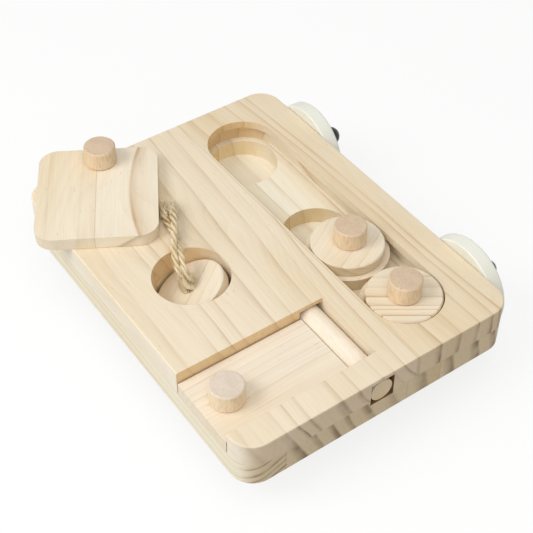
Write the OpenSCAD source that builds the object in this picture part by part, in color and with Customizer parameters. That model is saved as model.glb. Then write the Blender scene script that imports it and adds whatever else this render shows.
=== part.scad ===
// Foraging puzzle board for cage birds: two glued pine layers with a track of captive sliders,
// a hinged flap, a loose lid and a plug on a rope, all over treat wells, and two cage clamps.
// Millimetres. The origin is the centre of the board's underside, +X is the cage side, +Z is up.

/* [Board] */
// Width of the board, from the left side to the cage side
board_w = 140; // [136:1:180]
// Length of the board, front to back
board_l = 186; // [184:1:240]
// Thickness of each of the two glued layers
layer_t = 12; // [11.5:0.25:16]
// Radius of the upright corners
corner_r = 11; // [4:0.5:12]
// Rounding of the board's top edge and of the washers' edge next to the board
edge_r = 0.75; // [0.5:0.25:2]
// Wood left under every treat well
well_floor = 3; // [2:0.25:5]

/* [Slider track] */
// Distance from the cage side to the middle of the track
track_inset = 35.5; // [34.5:0.5:45]
// Wood left between the ends of the slot and the front and back of the board
track_rim = 13.5; // [11:0.5:20]
// Width of the slot in the top face
slot_w = 35; // [31:0.5:36]
// How far the hidden groove reaches past the slot on each side
lip_reach = 2.5; // [1.5:0.25:3.5]
// Thickness of the lip that holds the sliders down
lip_t = 4; // [2.5:0.25:5]
// Diameter of the treat wells under the track
track_well_d = 34; // [24:1:36]

/* [Sliders] */
// Thickness of the hidden flange of a slider
flange_t = 6; // [4:0.25:7]
// Gap between a slider and the sides of its track
slider_gap = 0.5; // [0.35:0.05:0.8]
// Gap between the near slider and the front end of the track
end_gap = 0.7; // [0.5:0.1:2]
// Gap between the flanges of the two sliders
flange_spacing = 0.8; // [0.5:0.1:6]
// How far the far slider's knob sits off the middle, towards the cage side
far_knob_shift = 1.2; // [0:0.1:3]

/* [Plug] */
// Distance from the left side to the middle of the left wells
column_inset = 35; // [32:0.5:42]
// Diameter of the plug
plug_d = 34; // [28:0.5:36]
// Thickness of the plug
plug_t = 6; // [4:0.25:7]
// Gap between the plug and the wall of its well
plug_gap = 0.7; // [0.6:0.05:1.2]
// Tilt of the plug as it lies in its well, degrees
plug_tilt = 27; // [24:1:28]
// Direction of the plug's high side, degrees from the cage side
plug_turn = -38; // [-42:1:-34]
// Diameter of the pull rope
rope_d = 6; // [4:0.25:6.25]
// Gap between the rope and its hole
rope_gap = 0.5; // [0.4:0.05:0.8]

/* [Flap] */
// Wood left between the flap and the front of the board
front_rim = 12.5; // [10:0.5:16]
// Size of the flap's recess, front to back
recess_l = 37; // [33:0.5:38]
// Wood left between the hinge channel and the track
hinge_rim = 10.5; // [8:0.5:14]
// Thickness of the flap
flap_t = 6; // [4:0.25:7]
// Gap between the flap and the ends of its recess
flap_gap = 0.7; // [0.4:0.1:1.5]
// Diameter of the hinge dowel
dowel_d = 11; // [9.5:0.25:11.25]
// Length of the dowel behind the recess
dowel_tail = 8; // [5:0.5:12]
// Depth of the dowel's groove in the lower layer
groove_t = 2.3; // [1.5:0.1:3]
// Gap between the dowel and the sides of its channel
channel_gap = 0.5; // [0.35:0.05:0.8]
// Gap above the dowel in its channel
channel_headroom = 1; // [0.5:0.1:1.2]
// Diameter of the treat well under the flap
flap_well_d = 30; // [20:1:32]
// Distance from the left side to the middle of that well
flap_well_inset = 34; // [30:0.5:38]
// Distance from the left side to the flap's knob
flap_knob_inset = 12.5; // [9.5:0.5:15]

/* [Lid] */
// Width of the lid
lid_w = 56; // [52:0.5:62]
// Length of the lid
lid_l = 62; // [56:0.5:68]
// Thickness of the lid
lid_t = 6; // [4:0.25:8]
// Radius of the lid's corners
lid_corner_r = 9; // [3:0.5:12]
// Turn of the lid as it lies on the board, degrees
lid_turn = -30.4; // [-32:0.1:-29]
// Distance from the left side to the middle of the lid
lid_inset = 25.4; // [23:0.1:26]
// Distance from the back of the board to the middle of the lid
lid_back_inset = 27.5; // [25:0.1:29]
// Distance from the lid's far edge to its knob
lid_knob_inset = 9; // [8:0.5:14]
// How far the lid's knob sits off the middle line
lid_knob_shift = 1.3; // [0:0.1:3]
// Diameter of the treat well under the lid
lid_well_d = 35; // [24:1:35]
// Distance from the back of the board to the middle of that well
lid_well_inset = 31; // [29:0.5:34]

/* [Knobs] */
// Diameter of the knobs
knob_d = 15; // [11:0.5:17]
// Height of the knobs
knob_h = 9.5; // [8:0.25:16]
// Bevel on the edges of the knobs, plug and discs
bevel = 0.6; // [0.3:0.1:1]
// Diameter of the screws that hold the knobs
screw_d = 3.5; // [2.5:0.25:4]
// Diameter of the screw heads
screw_head_d = 7; // [5.5:0.25:8]
// Depth of a screw in its knob
screw_bite = 6.5; // [4:0.25:7]
// Gap between a screw and its hole
screw_gap = 0.1; // [0.05:0.05:0.2]

/* [Cage clamps] */
// Distance from the front or back of the board to the nearest bolt
bolt_inset = 33.5; // [26:0.5:45]
// Diameter of the bolts
bolt_d = 6; // [4:0.5:6.5]
// Length of a bolt inside the board
bolt_embed = 15; // [8:0.5:16]
// Gap between a bolt and its hole in the board
bolt_gap = 0.05; // [0.05:0.05:0.2]
// Gap between a bolt and what runs along it
thread_gap = 0.3; // [0.3:0.05:0.5]
// Diameter of the cage washers
washer_d = 46; // [36:1:56]
// Thickness of the cage washers at the rim
washer_rim_t = 7.5; // [5:0.25:8]
// Thickness of the cage washers at the bolt
washer_hub_t = 10; // [8.5:0.25:14]
// Rounding of the outer edge of the cage washers
washer_round = 1.5; // [1:0.25:3]
// Width of the cap nuts across their flats
nut_flats = 10; // [9:0.5:13]
// Height of the cap nuts
nut_h = 12; // [10:0.5:16]
// Height of the six-sided part of the cap nuts
nut_hex_h = 6; // [4:0.25:7]
// Metal left at the closed end of the cap nuts
nut_end_t = 2; // [1.5:0.25:3]

/* [Hidden] */
$fn = 96;

// Gap between two pieces that lie on each other and move apart
seat_gap = 0.2;
// How far a cut reaches past the face it opens
past = 1;
// Steps in a rounded edge
round_steps = 5;
// Sides of a hull's round corners
hull_sides = 64;

board_h = 2 * layer_t;
left_x = -board_w / 2;
cage_x = board_w / 2;
front_y = -board_l / 2;
back_y = board_l / 2;
column_x = left_x + column_inset;

// Track and sliders
track_x = cage_x - track_inset;
track_end = board_l / 2 - track_rim - slot_w / 2;
disc_d = slot_w - 2 * slider_gap;
groove_w = slot_w + 2 * lip_reach;
flange_d = groove_w - 2 * slider_gap;
flange_z = layer_t + seat_gap;
disc_z = flange_z + flange_t;
disc_t = board_h - disc_z;
near_y = -track_end - slider_gap + end_gap;
far_y = near_y + flange_d + flange_spacing;

// Flap and its dowel
channel_w = dowel_d + 2 * channel_gap;
hinge_x = track_x - groove_w / 2 - hinge_rim - channel_w / 2;
recess_front = front_y + front_rim;
recess_back = recess_front + recess_l;
recess_mid = (recess_front + recess_back) / 2;
channel_back = recess_back + dowel_tail;
channel_bottom = layer_t - groove_t;
hinge_z = channel_bottom + seat_gap + dowel_d / 2;
channel_top = hinge_z + dowel_d / 2 + channel_headroom;
flap_z = layer_t + seat_gap;
flap_knob_x = left_x + flap_knob_inset;
glue_gap = 0.05;

// Plug, lying tilted on the floor of its well
plug_well_d = plug_d + 2 * plug_gap;
plug_shift = -plug_t * sin(plug_tilt) / 2;
plug_x = column_x + plug_shift * cos(plug_turn);
plug_y = plug_shift * sin(plug_turn);
plug_z = well_floor + seat_gap + plug_d / 2 * sin(plug_tilt) + plug_t * cos(plug_tilt);

// Lid
lid_x = left_x + lid_inset;
lid_y = back_y - lid_back_inset;
lid_z = board_h + seat_gap;
lid_knob_y = lid_l / 2 - lid_knob_inset;

// Cage clamps
bolt_y = board_l / 2 - bolt_inset;
bolt_z = layer_t / 2;
washer_x = cage_x + seat_gap;
nut_x = washer_x + washer_hub_t;
nut_bore_end = nut_x + nut_h - nut_end_t;
bolt_end = nut_bore_end - past;

// Route of the pull rope: out of the plug, over the rim of the well and along the board to the lid
rope_sides = 10;
rope_route = [
    [-34.8, -0.2, 11.5], [-35.5, 0.3, 14], [-36.2, 0.9, 16.9], [-36.9, 2.3, 20.9], [-36.8, 4.8, 24.2],
    [-36, 8.2, 26.7], [-34.5, 12, 27.9], [-31.9, 17.2, 27.8], [-29.8, 21.2, 27.4], [-28, 25.2, 27.2],
    [-26.5, 29.2, 27.2], [-25.1, 33.2, 27.2], [-23.7, 37, 27.2], [-22.2, 40.6, 27.2], [-20.7, 44, 27.2]
];

// Colours of the pieces
pine = "#ead9b8";
pine_dark = "#dfc593";
beech = "#c9955c";
steel = "#8d8d8d";
off_white = "#dedccb";
jute = "#b28a55";

// Points of a quarter circle of radius r about a centre, from one angle to another
function arc(centre, r, from, to) =
    [for (i = [0:round_steps]) centre + r * [cos(from + (to - from) * i / round_steps),
                                             sin(from + (to - from) * i / round_steps)]];

// Flat rectangle with round corners, about the origin
module rounded_rect(w, l, r) {
    square([w - 2 * r, l], center = true);
    square([w, l - 2 * r], center = true);
    for (sx = [-1, 1], sy = [-1, 1])
        translate([sx * (w / 2 - r), sy * (l / 2 - r)])
            circle(r);
}

// One layer of the board, from z = 0
module layer_blank(h) {
    linear_extrude(h)
        rounded_rect(board_w, board_l, corner_r);
}

// The rounded top edge of the board, from z = 0 to edge_r
module rounded_cap() {
    hull()
        for (sx = [-1, 1], sy = [-1, 1])
            translate([sx * (board_w / 2 - corner_r), sy * (board_l / 2 - corner_r), 0])
                rotate_extrude($fn = hull_sides)
                    polygon(concat([[0, 0]], arc([corner_r - edge_r, 0], edge_r, 0, 90), [[0, edge_r]]));
}

// Long slot with round ends, along the track
module track_cut(w, z, h) {
    translate([track_x - w / 2, -track_end, z])
        cube([w, 2 * track_end, h]);
    for (sy = [-1, 1])
        translate([track_x, sy * track_end, z])
            cylinder(h = h, d = w);
}

// Round well, open upwards
module well(x, y, d) {
    translate([x, y, well_floor])
        cylinder(h = board_h, d = d);
}

// The wells under the lid and under the plug
module open_wells() {
    well(column_x, 0, plug_well_d);
    well(column_x, back_y - lid_well_inset, lid_well_d);
}

// Channel of the hinge dowel, open at the front of the board
module dowel_channel() {
    translate([hinge_x - channel_w / 2, front_y - past, channel_bottom])
        cube([channel_w, channel_back - front_y + past, channel_top - channel_bottom]);
}

// Holes of the two cage bolts
module bolt_holes() {
    for (sy = [-1, 1])
        translate([cage_x - bolt_embed, sy * bolt_y, bolt_z])
            rotate([0, 90, 0])
                cylinder(h = bolt_embed + past, d = bolt_d + 2 * bolt_gap);
}

module top_board() {
    color(pine)
        difference() {
            union() {
                translate([0, 0, layer_t])
                    layer_blank(layer_t - edge_r);
                translate([0, 0, board_h - edge_r])
                    rounded_cap();
            }
            track_cut(slot_w, layer_t, layer_t + past);
            track_cut(groove_w, layer_t - past, layer_t - lip_t + past);
            open_wells();
            translate([left_x - past, recess_front, layer_t - past])
                cube([hinge_x + channel_w / 2 - left_x + past, recess_l, layer_t + 2 * past]);
            dowel_channel();
        }
}

module bottom_board() {
    color(pine)
        difference() {
            layer_blank(layer_t);
            for (sy = [-1, 0, 1])
                well(track_x, sy * track_end, track_well_d);
            open_wells();
            well(left_x + flap_well_inset, recess_mid, flap_well_d);
            dowel_channel();
            bolt_holes();
        }
}

// Round plate with bevelled edges, from z = 0
module bevelled_disc(d, h) {
    rotate_extrude()
        polygon([[0, 0], [d / 2 - bevel, 0], [d / 2, bevel], [d / 2, h - bevel], [d / 2 - bevel, h], [0, h]]);
}

// Hole for a knob's screw, from z = 0 upwards
module screw_hole(h) {
    translate([0, 0, -past])
        cylinder(h = h + past, d = screw_d + 2 * screw_gap);
}

// Sunk seat for a screw head in the face at z = 0
module screw_seat() {
    sink = (screw_head_d - screw_d) / 2;
    cylinder(h = sink, d1 = screw_head_d + 2 * screw_gap, d2 = screw_d + 2 * screw_gap);
}

// Turned knob, standing on z = 0, with a blind hole for its screw
module knob() {
    color(beech)
        difference() {
            bevelled_disc(knob_d, knob_h);
            screw_hole(screw_bite + screw_gap);
        }
}

// Countersunk screw through a plate of thickness t that reaches up into a knob
module knob_screw(t) {
    sink = (screw_head_d - screw_d) / 2;
    color(steel) {
        translate([0, 0, screw_gap])
            cylinder(h = sink, d1 = screw_head_d, d2 = screw_d);
        translate([0, 0, screw_gap])
            cylinder(h = t + screw_bite - screw_gap, d = screw_d);
    }
}

// Places its child on the flap's underside, below the knob
module at_flap_knob() {
    translate([flap_knob_x, recess_mid, flap_z])
        children();
}

module hinge_dowel() {
    dowel_front = front_y + channel_gap;
    color(pine_dark)
        translate([hinge_x, dowel_front, hinge_z])
            rotate([-90, 0, 0])
                cylinder(h = channel_back - channel_gap - dowel_front, d = dowel_d);
}

module flap_panel() {
    color(pine)
        difference() {
            translate([left_x, recess_front + flap_gap, flap_z])
                cube([hinge_x - left_x, recess_l - 2 * flap_gap, flap_t]);
            translate([hinge_x, recess_front, hinge_z])
                rotate([-90, 0, 0])
                    cylinder(h = recess_l, d = dowel_d + 2 * glue_gap);
            at_flap_knob() {
                screw_hole(flap_t + past);
                screw_seat();
            }
        }
}

module flap_knob() {
    at_flap_knob()
        translate([0, 0, flap_t])
            knob();
}

module flap_screw() {
    at_flap_knob()
        knob_screw(flap_t);
}

// Places its child on the lid's underside, in the lid's own directions
module at_lid(x = 0, y = 0) {
    translate([lid_x, lid_y, lid_z])
        rotate([0, 0, lid_turn])
            translate([x, y, 0])
                children();
}

// Places its child on the lid's underside, below the knob
module at_lid_knob() {
    at_lid(lid_knob_shift, lid_knob_y)
        children();
}

module square_lid() {
    color(pine)
        difference() {
            at_lid()
                linear_extrude(lid_t)
                    rounded_rect(lid_w, lid_l, lid_corner_r);
            at_lid_knob() {
                screw_hole(lid_t + past);
                screw_seat();
            }
        }
}

module lid_knob() {
    at_lid_knob()
        translate([0, 0, lid_t])
            knob();
}

module lid_screw() {
    at_lid_knob()
        knob_screw(lid_t);
}

// Puts a plate that was drawn below z = 0 where the tilted plug lies
module at_plug() {
    translate([plug_x, plug_y, plug_z])
        rotate([0, 0, plug_turn])
            rotate([0, -plug_tilt, 0])
                children();
}

module rope_plug() {
    color(pine_dark)
        at_plug()
            difference() {
                translate([0, 0, -plug_t])
                    bevelled_disc(plug_d, plug_t);
                translate([0, 0, -plug_t - past])
                    cylinder(h = plug_t + 2 * past, d = rope_d + 2 * rope_gap);
            }
}

// Direction of the rope at one of its points
function rope_heading(i) =
    let (last = len(rope_route) - 1)
    let (run = rope_route[min(i + 1, last)] - rope_route[max(i - 1, 0)])
    run / norm(run);

// Ring of points around one point of the rope
function rope_ring(i) =
    let (ahead = rope_heading(i))
    let (side = cross(ahead, [1, 0, 0]))
    let (across = side / norm(side))
    let (upward = cross(across, ahead))
    [for (k = [0:rope_sides - 1])
        let (turn = 360 * k / rope_sides)
        rope_route[i] + rope_d / 2 * (cos(turn) * across + sin(turn) * upward)];

module pull_rope() {
    rings = len(rope_route);
    points = [for (i = [0:rings - 1]) each rope_ring(i)];
    walls = [for (i = [0:rings - 2], k = [0:rope_sides - 1])
        let (next = (k + 1) % rope_sides)
        each [[i * rope_sides + k, i * rope_sides + next, (i + 1) * rope_sides + next],
              [i * rope_sides + k, (i + 1) * rope_sides + next, (i + 1) * rope_sides + k]]];
    start = [for (k = [rope_sides - 1:-1:0]) k];
    finish = [for (k = [0:rope_sides - 1]) (rings - 1) * rope_sides + k];
    color(jute)
        polyhedron(points, concat(walls, [start, finish]));
}

// Pieces of a slider at y, with its knob moved off the middle by shift
module slider_disc(y, shift) {
    color(pine)
        translate([track_x, y, disc_z])
            difference() {
                bevelled_disc(disc_d, disc_t);
                translate([shift, 0, 0])
                    screw_hole(disc_t + past);
            }
}

module slider_flange(y, shift) {
    color(pine_dark)
        translate([track_x, y, flange_z])
            difference() {
                cylinder(h = flange_t, d = flange_d);
                translate([shift, 0, 0]) {
                    screw_hole(flange_t + past);
                    screw_seat();
                }
            }
}

module slider_knob(y, shift) {
    translate([track_x + shift, y, board_h])
        knob();
}

module slider_screw(y, shift) {
    translate([track_x + shift, y, flange_z])
        knob_screw(flange_t + disc_t);
}

module near_disc() slider_disc(near_y, 0);
module near_flange() slider_flange(near_y, 0);
module near_knob() slider_knob(near_y, 0);
module near_screw() slider_screw(near_y, 0);
module far_disc() slider_disc(far_y, far_knob_shift);
module far_flange() slider_flange(far_y, far_knob_shift);
module far_knob() slider_knob(far_y, far_knob_shift);
module far_screw() slider_screw(far_y, far_knob_shift);

// Turns a shape that stands on z = 0 so that it points out of the cage side at one bolt
module at_bolt(side, x) {
    translate([x, side * bolt_y, bolt_z])
        rotate([0, 90, 0])
            children();
}

module cage_bolt(side) {
    color(steel)
        at_bolt(side, cage_x - bolt_embed)
            cylinder(h = bolt_end - cage_x + bolt_embed, d = bolt_d);
}

// Plastic washer, flat towards the board and swelling towards its nut
module cage_washer(side) {
    rim_r = washer_d / 2;
    color(off_white)
        at_bolt(side, washer_x)
            difference() {
                rotate_extrude()
                    polygon(concat(
                        [[0, 0]],
                        arc([rim_r - edge_r, edge_r], edge_r, -90, 0),
                        arc([rim_r - washer_round, washer_rim_t - washer_round], washer_round, 0, 70),
                        [[nut_flats * 0.75, washer_hub_t], [0, washer_hub_t]]));
                translate([0, 0, -past])
                    cylinder(h = washer_hub_t + 2 * past, d = bolt_d + 2 * thread_gap);
            }
}

// Six-sided nut with a round closed end
module cap_nut(side) {
    dome_r = nut_flats / 2;
    color(steel)
        at_bolt(side, nut_x)
            difference() {
                union() {
                    cylinder(h = nut_hex_h, d = nut_flats / cos(30), $fn = 6);
                    rotate_extrude()
                        polygon(concat(
                            [[0, nut_hex_h - past], [dome_r, nut_hex_h - past]],
                            arc([0, nut_h - dome_r], dome_r, 0, 90)));
                }
                translate([0, 0, -past])
                    cylinder(h = nut_h - nut_end_t + past, d = bolt_d + 2 * thread_gap);
            }
}

module front_bolt() cage_bolt(-1);
module back_bolt() cage_bolt(1);
module front_washer() cage_washer(-1);
module back_washer() cage_washer(1);
module front_cap_nut() cap_nut(-1);
module back_cap_nut() cap_nut(1);

top_board();
bottom_board();
front_bolt();
back_bolt();
hinge_dowel();
flap_panel();
flap_knob();
flap_screw();
square_lid();
lid_knob();
lid_screw();
rope_plug();
pull_rope();
near_disc();
near_flange();
near_knob();
near_screw();
far_disc();
far_flange();
far_knob();
far_screw();
front_washer();
front_cap_nut();
back_washer();
back_cap_nut();
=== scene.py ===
import math

import bpy
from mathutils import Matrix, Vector


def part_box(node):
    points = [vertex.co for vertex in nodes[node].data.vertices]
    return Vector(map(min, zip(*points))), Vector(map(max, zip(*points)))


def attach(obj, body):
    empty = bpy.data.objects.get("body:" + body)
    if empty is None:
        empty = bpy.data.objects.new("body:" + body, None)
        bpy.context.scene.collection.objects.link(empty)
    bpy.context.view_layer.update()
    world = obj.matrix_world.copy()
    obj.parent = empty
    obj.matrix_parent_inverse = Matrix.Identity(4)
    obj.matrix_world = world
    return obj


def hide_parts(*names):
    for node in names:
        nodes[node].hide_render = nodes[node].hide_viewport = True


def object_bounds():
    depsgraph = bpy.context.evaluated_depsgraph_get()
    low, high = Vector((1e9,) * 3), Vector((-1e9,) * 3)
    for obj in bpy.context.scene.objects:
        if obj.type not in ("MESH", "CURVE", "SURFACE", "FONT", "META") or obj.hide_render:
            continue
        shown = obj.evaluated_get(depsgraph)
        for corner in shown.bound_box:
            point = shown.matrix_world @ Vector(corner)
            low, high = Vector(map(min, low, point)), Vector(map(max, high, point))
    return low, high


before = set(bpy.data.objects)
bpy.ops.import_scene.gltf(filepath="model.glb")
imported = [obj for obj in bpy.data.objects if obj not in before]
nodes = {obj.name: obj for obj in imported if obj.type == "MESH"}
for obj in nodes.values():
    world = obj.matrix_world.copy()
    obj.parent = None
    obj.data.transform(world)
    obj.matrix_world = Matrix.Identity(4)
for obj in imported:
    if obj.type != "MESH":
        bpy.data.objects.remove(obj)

cad_low, cad_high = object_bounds()
scene = bpy.context.scene
scene.view_settings.view_transform = "Standard"

MM = 0.001

# Camera: the photograph's own view, from the front left and above
CAMERA_PLACE = (-0.213199, -0.311918, 0.391175)
CAMERA_AZIMUTH = 35.0
CAMERA_ELEVATION = 45.3
CAMERA_LENS = 79.03
SENSOR_WIDTH = 36.0

# Studio: how strongly the sky lights the object, and the floor's reach and its gap under the object
SKY_LEVEL = 0.47
FLOOR_REACH = 4.0
FLOOR_GAP = 0.2 * MM

# Pull rope: its route from the plug's hole over the rim of the well and along the board, in millimetres, and
# the part of a turn by which its lay is turned
ROPE_POINTS = [
    (-34.8, -0.2, 11.5), (-35.5, 0.3, 14.0), (-36.2, 0.9, 16.9), (-36.9, 2.3, 20.9), (-36.8, 4.8, 24.2),
    (-36.0, 8.2, 26.7), (-34.5, 12.0, 27.9), (-31.9, 17.2, 27.8), (-29.8, 21.2, 27.4), (-28.0, 25.2, 27.2),
    (-26.5, 29.2, 27.2), (-25.1, 33.2, 27.2), (-23.7, 37.0, 27.2), (-22.2, 40.6, 27.2), (-20.7, 44.0, 27.2),
]
ROPE_ROUTE = [tuple(MM * value for value in point) for point in ROPE_POINTS]
ROPE_PHASE = 0.043
ROPE_LENGTH = sum((Vector(b) - Vector(a)).length for a, b in zip(ROPE_ROUTE, ROPE_ROUTE[1:]))

# Lid and plug, as they lie in the photograph; the turn is in degrees
LID_CENTRE = (-0.0446, 0.0655, 0.0272)
LID_TURN = -30.4
PLUG_CENTRE = (-0.0350, 0.0, 0.0136)

# The board's two layers, in millimetres: half its width and length, the tops of the layers, and the tunnel
# that the dowel's front end lies in, by its axis at its inner end and the reach of the painted shade on its
# wall
HALF_WIDTH = 70
HALF_LENGTH = 93
UPPER_TOP = 24
LOWER_TOP = 12
TUNNEL_END = (-2, -80.6, 15.4)
TUNNEL_REACH = 8.4


def srgb(code):
    """A hex colour as linear red, green, blue and alpha."""
    parts = [int(code[i:i + 2], 16) / 255 for i in (1, 3, 5)]
    return tuple(p / 12.92 if p <= 0.04045 else ((p + 0.055) / 1.055) ** 2.4 for p in parts) + (1.0,)


def add(tree, kind, inputs=None, **settings):
    """Adds one node with its settings and links.

    An input is given by name, or by number where several have the same name. It takes a value, or a socket or
    a node to link to it; of a node, the first output in use is linked. A list links several.
    """
    made = tree.nodes.new(kind)
    for name, value in settings.items():
        setattr(made, name, value)
    for key, value in (inputs or {}).items():
        for source in value if isinstance(value, list) else [value]:
            if isinstance(source, bpy.types.Node):
                source = next(socket for socket in source.outputs if socket.enabled)
            if isinstance(source, bpy.types.NodeSocket):
                tree.links.new(source, made.inputs[key])
            else:
                made.inputs[key].default_value = source
    return made


def set_stops(ramp, values, interpolation="LINEAR"):
    """Sets a colour ramp's stops; each is its position and a grey level or a colour."""
    ramp.color_ramp.interpolation = interpolation
    elements = ramp.color_ramp.elements
    while len(elements) < len(values):
        elements.new(1.0)
    for element, (position, value) in zip(elements, values):
        element.position = position
        element.color = value if isinstance(value, tuple) else (value, value, value, 1.0)


def new_material(name):
    """An empty material and its tree."""
    material = bpy.data.materials.new(name)
    material.use_nodes = True
    material.node_tree.nodes.clear()
    return material, material.node_tree


def finish_material(material, inputs):
    """Ends a material's tree in one shader with these inputs."""
    shader = add(material.node_tree, "ShaderNodeBsdfPrincipled", inputs)
    add(material.node_tree, "ShaderNodeOutputMaterial", {"Surface": shader})
    return material


def directly_seen(tree):
    """1 for what the camera sees, also in a mirror or through glass; 0 for what only lights the object."""
    rays = add(tree, "ShaderNodeLightPath").outputs
    seen = rays["Is Camera Ray"]
    for kind in ("Is Glossy Ray", "Is Transmission Ray"):
        seen = add(tree, "ShaderNodeMath", {0: seen, 1: rays[kind]}, operation="MAXIMUM")
    return seen


# Camera and light

camera = bpy.data.objects.new("camera", bpy.data.cameras.new("camera"))
camera.data.lens = CAMERA_LENS
camera.data.sensor_width = SENSOR_WIDTH
camera.location = CAMERA_PLACE
camera.rotation_euler = (math.radians(90 - CAMERA_ELEVATION), 0, math.radians(-CAMERA_AZIMUTH))
scene.collection.objects.link(camera)
scene.camera = camera


def soft_light(name, place, size, power):
    """A square studio light that faces the middle of the board."""
    lamp = bpy.data.lights.new(name, "AREA")
    lamp.size = size
    lamp.energy = power
    light = bpy.data.objects.new(name, lamp)
    light.location = place
    light.rotation_euler = (-Vector(place)).to_track_quat("-Z", "Y").to_euler()
    scene.collection.objects.link(light)


soft_light("left_softbox", (-0.72, 0.15, 0.8), size=0.5, power=4.6)
soft_light("left_fill", (-1.0, -0.05, 0.12), size=0.5, power=1.5)
soft_light("overhead_softbox", (-0.05, -0.1, 1.1), size=0.7, power=2.5)
soft_light("front_fill", (-0.22, -0.5, 0.52), size=0.5, power=0.85)

world = bpy.data.worlds.new("studio")
scene.world = world
world.use_nodes = True
sky = world.node_tree
sky.nodes.clear()
level = add(sky, "ShaderNodeMapRange", {"Value": directly_seen(sky), "To Min": SKY_LEVEL, "To Max": 1.0})
white = add(sky, "ShaderNodeBackground", {"Color": srgb("#FFFFFF"), "Strength": level})
add(sky, "ShaderNodeOutputWorld", {"Surface": white})


# Rope: two jute strands of three yarns, laid along the route by one tree

def geometry_tree(name, sockets):
    """An empty geometry tree with named inputs, its input node's sockets and one geometry output."""
    tree = bpy.data.node_groups.new(name, "GeometryNodeTree")
    for socket, kind in sockets.items():
        tree.interface.new_socket(socket, in_out="INPUT", socket_type="NodeSocket" + kind)
    tree.interface.new_socket("Geometry", in_out="OUTPUT", socket_type="NodeSocketGeometry")
    return tree, add(tree, "NodeGroupInput").outputs


def finish_tree(tree, geometry, material):
    """Ends a geometry tree: real geometry in one material."""
    real = add(tree, "GeometryNodeRealizeInstances", {"Geometry": geometry})
    dressed = add(tree, "GeometryNodeSetMaterial", {"Geometry": real, "Material": material})
    add(tree, "NodeGroupOutput", {"Geometry": dressed})


def made_by_tree(name, tree, values, mesh=None):
    """Runs a geometry tree on a mesh and keeps what it makes as a plain mesh object."""
    piece = bpy.data.objects.new(name, mesh or bpy.data.meshes.new(name))
    scene.collection.objects.link(piece)
    modifier = piece.modifiers.new("make", "NODES")
    modifier.node_group = tree
    for socket in tree.interface.items_tree:
        if socket.in_out == "INPUT" and socket.name in values:
            modifier[socket.identifier] = values[socket.name]
    depsgraph = bpy.context.evaluated_depsgraph_get()
    made = bpy.data.meshes.new_from_object(piece.evaluated_get(depsgraph))
    piece.modifiers.clear()
    piece.data = made
    made.name = name
    return piece


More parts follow.
